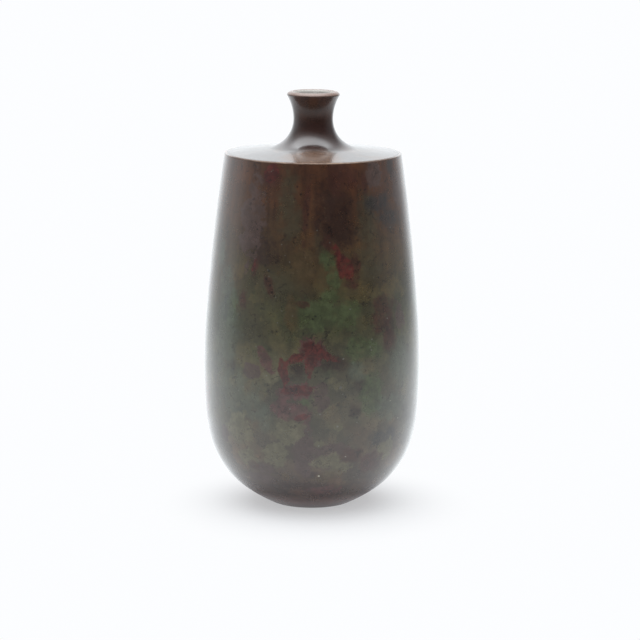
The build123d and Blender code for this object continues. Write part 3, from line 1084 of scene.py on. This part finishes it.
def tone_ramp(tree, value, stops):
    """A grey ramp through stops that are written in the value's own units."""
    low, high = stops[0][0], stops[-1][0]
    top = max(level for _, level in stops)
    ramp = add_node(tree, "ShaderNodeFloatCurve", {"Value": scaled(tree, value, (low, high))})
    curve = ramp.mapping.curves[0]
    for place, level in stops[1:-1]:
        curve.points.new((place - low) / (high - low), level / top)
    curve.points[0].location = (0.0, stops[0][1] / top)
    curve.points[-1].location = (1.0, stops[-1][1] / top)
    for point in curve.points:
        point.handle_type = "AUTO_CLAMPED"
    ramp.mapping.update()
    return reckon(tree, "MULTIPLY", ramp.outputs[0], top)


def toward(tree, way, aim):
    """How nearly a direction is the aim: 1 along it, and -1 away from it."""
    inputs = {0: way, 1: aim}
    return add_node(tree, "ShaderNodeVectorMath", inputs, operation="DOT_PRODUCT").outputs["Value"]


def room_glow(tree, way):
    """The glow of the room in a direction: bright behind, dark in front, with soft lights round it."""
    glow = tone_ramp(tree, toward(tree, way, (0, 1, 0)), ROOM_FADE)
    for aim, stops in SOFT_LIGHTS:
        glow = reckon(tree, "ADD", glow, tone_ramp(tree, toward(tree, way, aim), stops))
    return glow


print(f"room: {ROOM_FADE[0][1]} bright in front, {ROOM_FADE[-1][1]} behind, {len(SOFT_LIGHTS)} soft lights")

# %% [markdown]
# ## The sheet
#
# A studio stands a vase on a wide roll of white paper. Here it is a flat disc with three jobs. Its matt
# surface takes the vase's shadow, a plain glow makes it white to the camera further off, and to a
# reflection it is white beside the vase and falls off towards the room. Light Path tells these rays apart
# and chooses the share of each. The disc lies a hair below the foot, because two faces in one plane
# flicker.

# %% The sheet that the vase stands on
from mathutils import Matrix, Vector

FLOOR_REACH = 12.0
FLOOR_SIDES = 64
FLOOR_DROP = 0.02 * MM
FLOOR_TONE = (0.890, 0.898, 0.918)
FLOOR_WHITE = (0.975, 0.985, 1.0)
# Shadow to the camera and shade to a reflection: their middles, and where each starts and ends
SHADOW_DEPTH = 0.54
SHADOW_REACH = (0.03, 0.097)
SHADOW_MIDDLE = (0.004, -0.016, 0)
SHEET_SHADE = (0.031, 0.088)
SHADE_MIDDLE = (0, -0.020, 0)
# A painted glow of the sheet, seen only in reflections, just round the foot under the belly: its strength,
# and the reaches in metres where it ends and where it is full
FOOT_SHINE = 0.23
FOOT_REACH = (0.040, 0.027)
# Glow of the sheet by direction near the vase, and how far out, in metres, it turns into the room
SHEET_NEAR = [(-1.0, 0.84), (0.0, 1.11), (0.4, 1.3), (0.7, 1.48), (0.85, 1.4), (1.0, 1.4)]
SHEET_FADE = [(0.0, 0.0), (0.2, 0.13), (0.4, 0.32), (0.6, 0.54), (0.8, 0.76), (1.2, 1.0)]


def sheet_glow(tree, place, reach):
    """The glow of the sheet to a reflection: white near the vase, and as the room is far from it."""
    way = add_node(tree, "ShaderNodeVectorMath", {0: place}, operation="NORMALIZE").outputs[0]
    toward_back = add_node(tree, "ShaderNodeSeparateXYZ", {0: way}).outputs["Y"]
    near = tone_ramp(tree, toward_back, SHEET_NEAR)
    inputs = {0: tone_ramp(tree, reach, SHEET_FADE), 2: near, 3: room_glow(tree, way)}
    return add_node(tree, "ShaderNodeMix", inputs, data_type="FLOAT").outputs[0]


def white_sheet():
    """Pale and lit where the shadow falls, and plain white further off."""
    material = bpy.data.materials.new("white sheet")
    material.use_nodes = True
    tree = material.node_tree
    tree.nodes.remove(tree.nodes["Principled BSDF"])
    place = add_node(tree, "ShaderNodeTexCoord", {}).outputs["Object"]
    reach = distance(tree, place)
    path = add_node(tree, "ShaderNodeLightPath", {}).outputs
    mirrored = reckon(tree, "MAXIMUM", path["Is Glossy Ray"], path["Is Transmission Ray"])
    plain = fade(tree, distance(tree, place, SHADOW_MIDDLE), *SHADOW_REACH)
    plain = reckon(tree, "MULTIPLY_ADD", plain, SHADOW_DEPTH, 1 - SHADOW_DEPTH)
    to_camera = reckon(tree, "MULTIPLY", path["Is Camera Ray"], plain)
    under = reckon(tree, "MULTIPLY", fade(tree, reach, *FOOT_REACH), FOOT_SHINE)
    lit = fade(tree, distance(tree, place, SHADE_MIDDLE), *SHEET_SHADE)
    to_mirror = reckon(tree, "MAXIMUM", lit, under)
    to_mirror = reckon(tree, "MULTIPLY", mirrored, to_mirror)
    glow = reckon(tree, "MULTIPLY", mirrored, sheet_glow(tree, place, reach))
    glow = reckon(tree, "ADD", glow, path["Is Camera Ray"])
    tint = blend(tree, mirrored, colour(FLOOR_WHITE), colour(ROOM_TONE))
    white = add_node(tree, "ShaderNodeEmission", {"Color": tint, "Strength": glow}).outputs[0]
    pale = add_node(tree, "ShaderNodeBsdfDiffuse", {"Color": colour(FLOOR_TONE)}).outputs[0]
    share = reckon(tree, "ADD", to_camera, to_mirror)
    mixed = add_node(tree, "ShaderNodeMixShader", {0: share, 1: pale, 2: white}).outputs[0]
    tree.links.new(mixed, tree.nodes["Material Output"].inputs["Surface"])
    material.cycles.emission_sampling = "NONE"
    return material


floor_mesh = bmesh.new()
below_foot = Matrix.Translation((0, 0, -FLOOR_DROP))
bmesh.ops.create_circle(
    floor_mesh, cap_ends=True, segments=FLOOR_SIDES, radius=FLOOR_REACH, matrix=below_foot
)
floor_data = bpy.data.meshes.new("floor")
floor_mesh.to_mesh(floor_data)
floor_mesh.free()
floor_data.materials.append(white_sheet())
floor = bpy.data.objects.new("floor", floor_data)
bpy.context.scene.collection.objects.link(floor)
print(f"floor: {2 * FLOOR_REACH:.0f} m across, tone {FLOOR_TONE}")

# %% [markdown]
# ## The room
#
# The world stands for the walls and the ceiling. To a matt surface it is an even, weak dome that fills
# the shadows, to the camera it is as white as the sheet, and to a reflection it is the room described
# above. Its sampling as a lamp is off, because its glow differs by the kind of ray, and sampling would
# mix the kinds up.

# %% The room round it
DOME = 0.42

world = bpy.data.worlds.new("studio")
bpy.context.scene.world = world
world.use_nodes = True
world.cycles.sampling_method = "NONE"
tree = world.node_tree
path = add_node(tree, "ShaderNodeLightPath", {}).outputs
way = add_node(tree, "ShaderNodeTexCoord", {}).outputs["Generated"]
seen = reckon(tree, "MULTIPLY_ADD", path["Is Diffuse Ray"], DOME, path["Is Camera Ray"])
mirrored = reckon(tree, "MAXIMUM", path["Is Glossy Ray"], path["Is Transmission Ray"])
glow = reckon(tree, "MULTIPLY_ADD", mirrored, room_glow(tree, way), seen)
tint = blend(tree, path["Is Camera Ray"], colour(ROOM_TONE), colour(FLOOR_WHITE))
background = tree.nodes["Background"].inputs
tree.links.new(glow, background["Strength"])
tree.links.new(tint, background["Color"])
print(f"room: a dome of {DOME} to matt surfaces, {len(tree.nodes)} nodes")

# %% [markdown]
# ## The lamp
#
# One large softbox hangs overhead and a little in front, as wide as a door is high, so the shadow is soft
# all round the foot. Its glow is written per area, and the watts follow from its size. It is hidden from
# reflections, because the room's soft lights already show there.

# %% Hang the softbox
from math import pi

LAMP_PLACE = (0, -0.2, 1.25)
LAMP_AIM = (0, -0.2, 0)
LAMP_SIZE = (2.2, 1.9)
LAMP_GLOW = 1.6


def aimed(place, aim):
    """Stands at a place and looks at a point."""
    facing = (Vector(aim) - Vector(place)).to_track_quat("-Z", "Y").to_matrix().to_4x4()
    return Matrix.Translation(place) @ facing


lamp = bpy.data.lights.new("overhead softbox", "AREA")
lamp.shape = "RECTANGLE"
lamp.size, lamp.size_y = LAMP_SIZE
lamp.energy = LAMP_GLOW * pi * lamp.size * lamp.size_y
softbox = bpy.data.objects.new("overhead softbox", lamp)
softbox.matrix_world = aimed(LAMP_PLACE, LAMP_AIM)
softbox.visible_glossy = False
bpy.context.scene.collection.objects.link(softbox)
print(f"{softbox.name}: {lamp.energy:.1f} W")

# %% [markdown]
# ## The camera
#
# The vase is looked at from a little above, from far away with a long lens, which keeps its sides nearly
# parallel and shows the mouth as a thin ellipse. Place and lens were fitted to the outline of the foot,
# the shoulder and the lip, and a small roll matches a slight tilt. Depth of field stays off, since
# everything is sharp at this distance.

# %% Place the camera
CAMERA_PLACE = Vector((0, -1.4614, 0.3848))
CAMERA_AIM = Vector((0.0047, 0, 0.1075))
CAMERA_LENS = 142.3
CAMERA_ROLL = 0.38

camera_data = bpy.data.cameras.new("camera")
camera_data.lens = CAMERA_LENS
camera = bpy.data.objects.new("camera", camera_data)
roll = Matrix.Rotation(radians(CAMERA_ROLL), 4, "Z")
camera.matrix_world = aimed(CAMERA_PLACE, CAMERA_AIM) @ roll
bpy.context.scene.collection.objects.link(camera)
bpy.context.scene.camera = camera
bpy.context.scene.view_settings.view_transform = "Standard"
sight = CAMERA_AIM - CAMERA_PLACE
down = degrees(atan2(-sight.z, hypot(sight.x, sight.y)))
print(f"camera: {CAMERA_LENS} mm lens, {sight.length:.2f} m away, looking down by {down:.1f} degrees")
